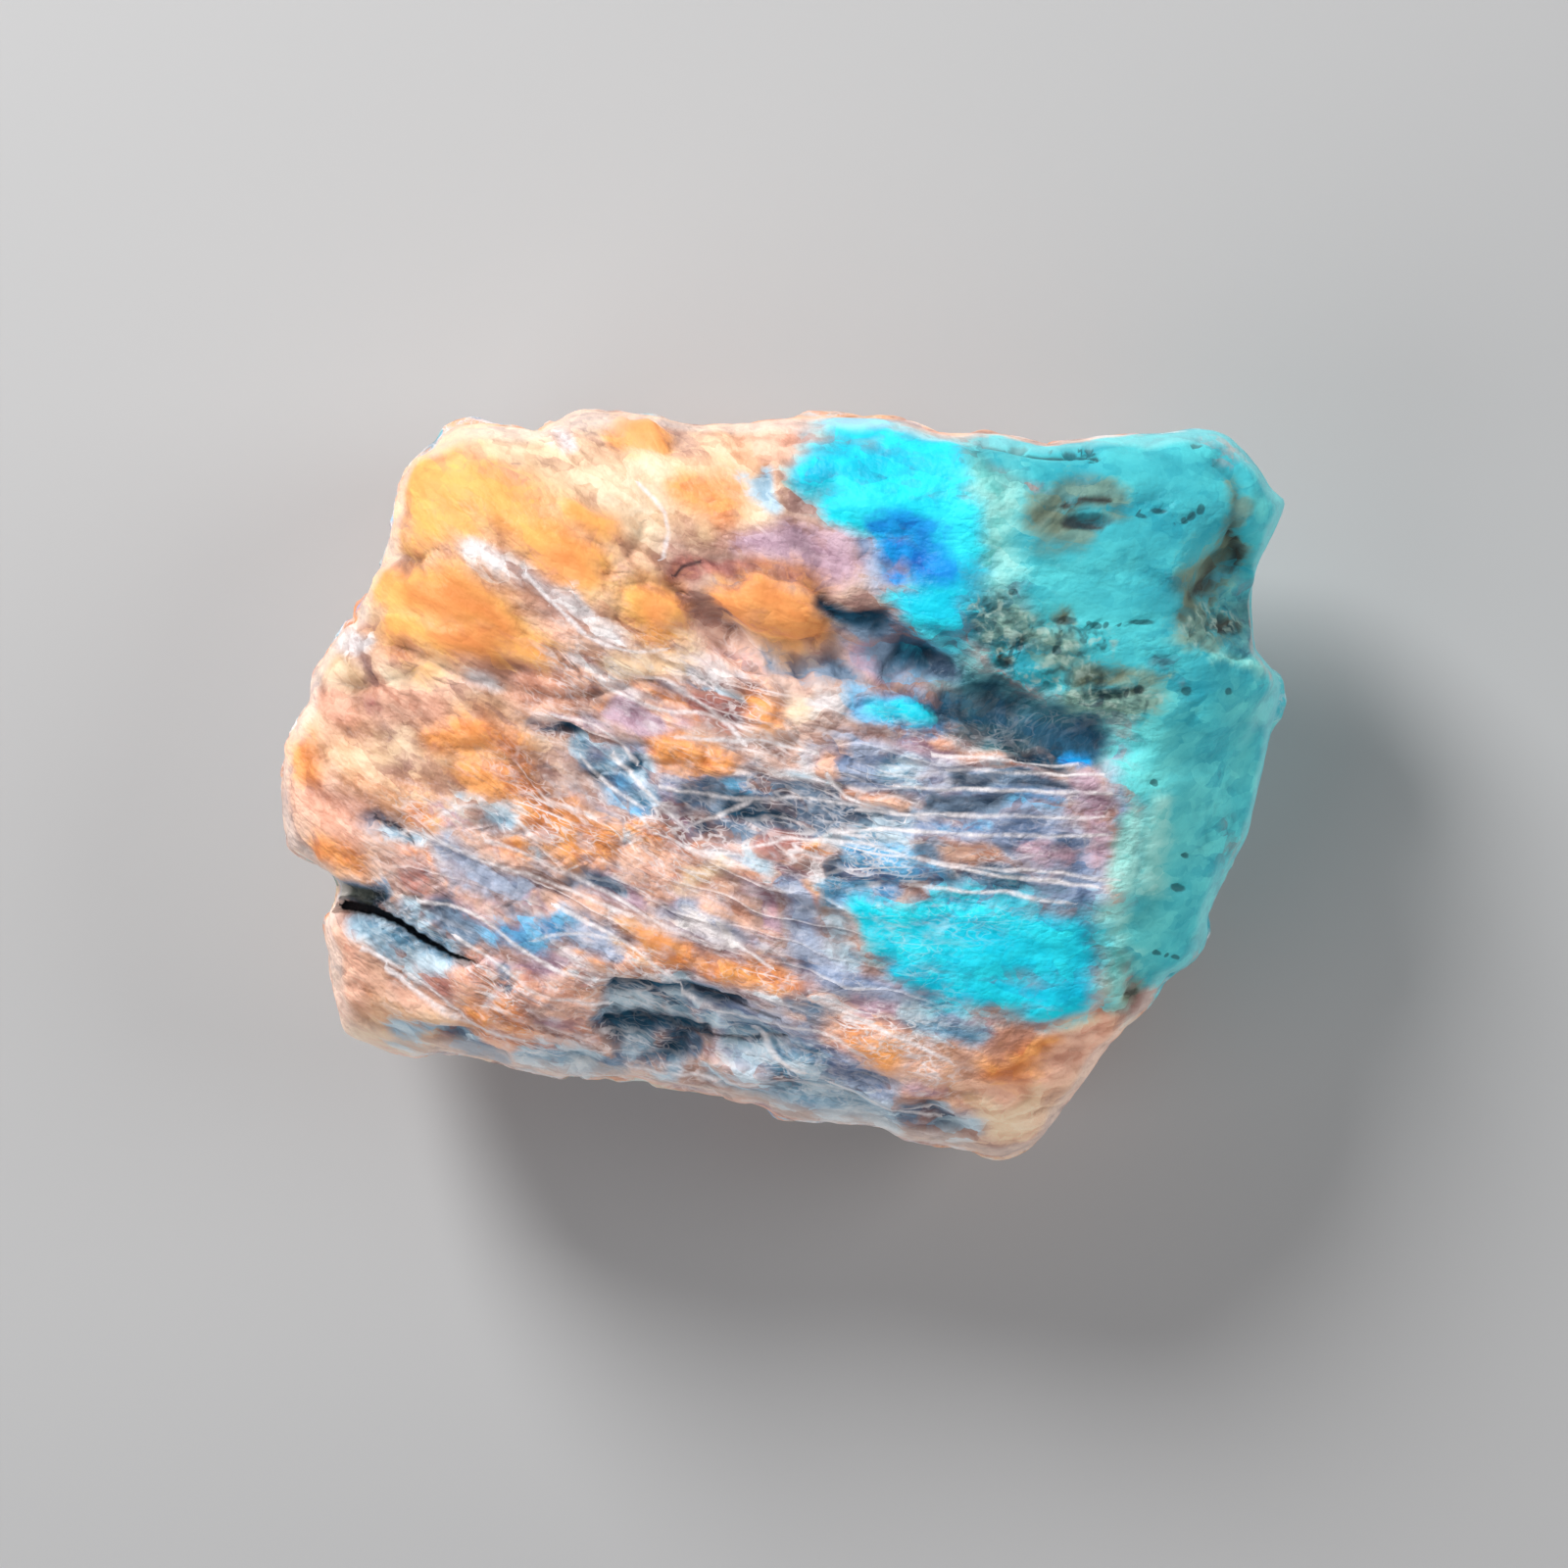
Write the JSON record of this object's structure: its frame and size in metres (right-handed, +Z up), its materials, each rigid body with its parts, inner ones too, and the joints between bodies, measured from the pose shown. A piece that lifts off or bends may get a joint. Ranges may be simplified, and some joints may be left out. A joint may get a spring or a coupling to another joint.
{
  "type": "sodalite specimen",
  "caption": "Rough broken sodalite specimen, one solid stone that lies on its back on a flat spot, with amber, orange and blue glowing bands across its face.",
  "frame": {"origin": "middle of the bounding box, on the plane of the flat spot that the stone lies on", "axes": "+X along the stone's width to its teal end, +Y across the face towards the edge with the amber bump, +Z up out of the face"},
  "size_m": [0.081, 0.0612, 0.029],
  "materials": {
    "sodalite": "rough broken stone, softly glowing amber, salmon, teal and blue"
  },
  "bodies": {
    "root": {"specimen": "sodalite"}
  },
  "joints": []
}
